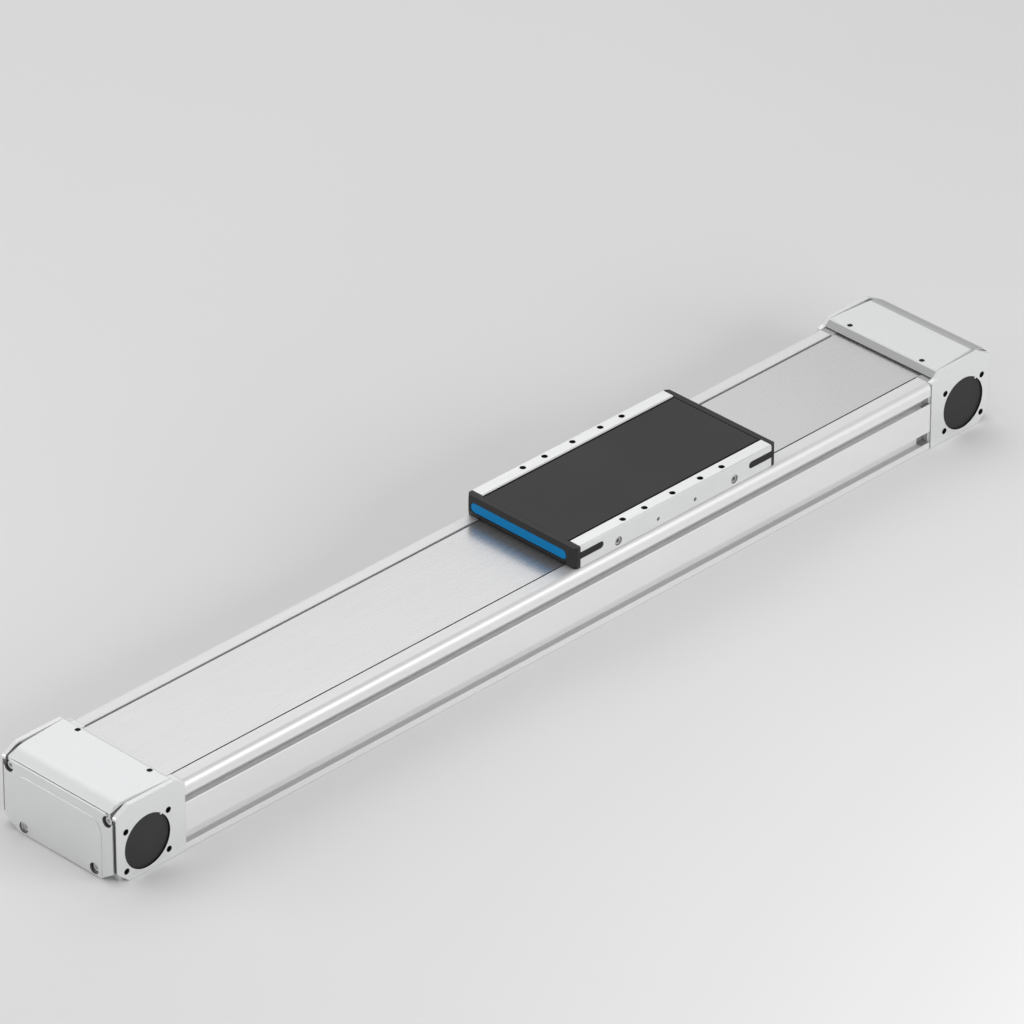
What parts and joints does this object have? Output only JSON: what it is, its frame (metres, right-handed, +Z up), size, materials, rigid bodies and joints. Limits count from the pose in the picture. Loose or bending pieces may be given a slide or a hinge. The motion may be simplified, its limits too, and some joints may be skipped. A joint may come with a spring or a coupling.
{
  "type": "toothed belt linear axis",
  "caption": "Linear axis: a carriage rides inside a long slotted aluminium profile, pulled by a toothed belt that runs round a pulley in each end head.",
  "frame": {"origin": "middle of the underside, half way between the two pulley axes", "axes": "+X along the axis from the drive head to the idler head, +Y across it away from the near side, +Z up"},
  "size_m": [1.2338, 0.1606, 0.1032],
  "materials": {
    "anodised_profile": "satin",
    "head_aluminium": "satin",
    "strip_steel": "satin",
    "machined_aluminium": "satin",
    "black_plastic": "matte",
    "black_cover": "matte",
    "blue_insert": "satin",
    "belt_rubber": "matte",
    "ground_steel": "satin",
    "bearing_steel": "polished",
    "screw_steel": "satin"
  },
  "bodies": {
    "axis_body": {"profile": "anodised_profile", "cover_strip": "strip_steel", "guide_rail_near": "ground_steel", "guide_rail_far": "ground_steel", "rail_screws": "screw_steel", "drive_head_housing": "head_aluminium", "idler_head_housing": "head_aluminium", "drive_end_frame": "black_plastic", "idler_end_frame": "black_plastic", "drive_end_plate": "head_aluminium", "idler_end_plate": "head_aluminium", "end_plate_screws": "screw_steel", "head_bolts": "screw_steel", "drive_strip_clamp": "machined_aluminium", "idler_strip_clamp": "machined_aluminium", "strip_clamp_screws": "screw_steel", "drive_cover_disc_near": "black_cover", "drive_cover_disc_far": "black_cover", "idler_cover_disc_near": "black_cover", "idler_cover_disc_far": "black_cover", "bearing_outer_rings": "bearing_steel", "bearing_balls": "bearing_steel", "retaining_rings": "screw_steel", "end_buffers": "belt_rubber", "toothed_belt": "belt_rubber"},
    "carriage": {"side_bar_near": "machined_aluminium", "side_bar_far": "machined_aluminium", "saddle_plate": "machined_aluminium", "web_plate_near": "strip_steel", "web_plate_far": "strip_steel", "slide_plate": "machined_aluminium", "runner_blocks": "ground_steel", "runner_block_seals": "black_plastic", "runner_block_screws": "screw_steel", "belt_clamp_plates": "machined_aluminium", "belt_pressure_bars": "machined_aluminium", "belt_clamp_screws": "screw_steel", "side_bar_screws": "screw_steel", "web_screws": "screw_steel", "centre_cover": "black_cover", "front_end_cap": "black_plastic", "rear_end_cap": "black_plastic", "front_insert": "blue_insert", "rear_insert": "blue_insert", "cap_clips": "black_plastic", "front_wiper": "belt_rubber", "rear_wiper": "belt_rubber"},
    "drive_pulley_set": {"drive_pulley": "machined_aluminium", "drive_hub": "ground_steel", "drive_bearing_inner_rings": "bearing_steel"},
    "idler_pulley_set": {"idler_pulley": "machined_aluminium", "idler_hub": "ground_steel", "idler_bearing_inner_rings": "bearing_steel"}
  },
  "joints": [
    {"name": "carriage_slide", "type": "slide", "parent": "axis_body", "child": "carriage", "axis": [1, 0, 0], "range_m": [-0.531, 0.223], "deforming": ["toothed_belt"]},
    {"name": "drive_pulley_spin", "type": "hinge", "parent": "axis_body", "child": "drive_pulley_set", "pos_m": [-0.575, 0, 0.0342], "axis": [0, 1, 0], "range_deg": [-1200, 506]},
    {"name": "idler_pulley_spin", "type": "hinge", "parent": "axis_body", "child": "idler_pulley_set", "pos_m": [0.575, 0, 0.0342], "axis": [0, 1, 0], "range_deg": [-1200, 506]}
  ],
  "couplings": [
    {"joint": "drive_pulley_spin", "follows": "carriage_slide", "rad_per_m": 39.27},
    {"joint": "idler_pulley_spin", "follows": "carriage_slide", "rad_per_m": 39.27}
  ]
}
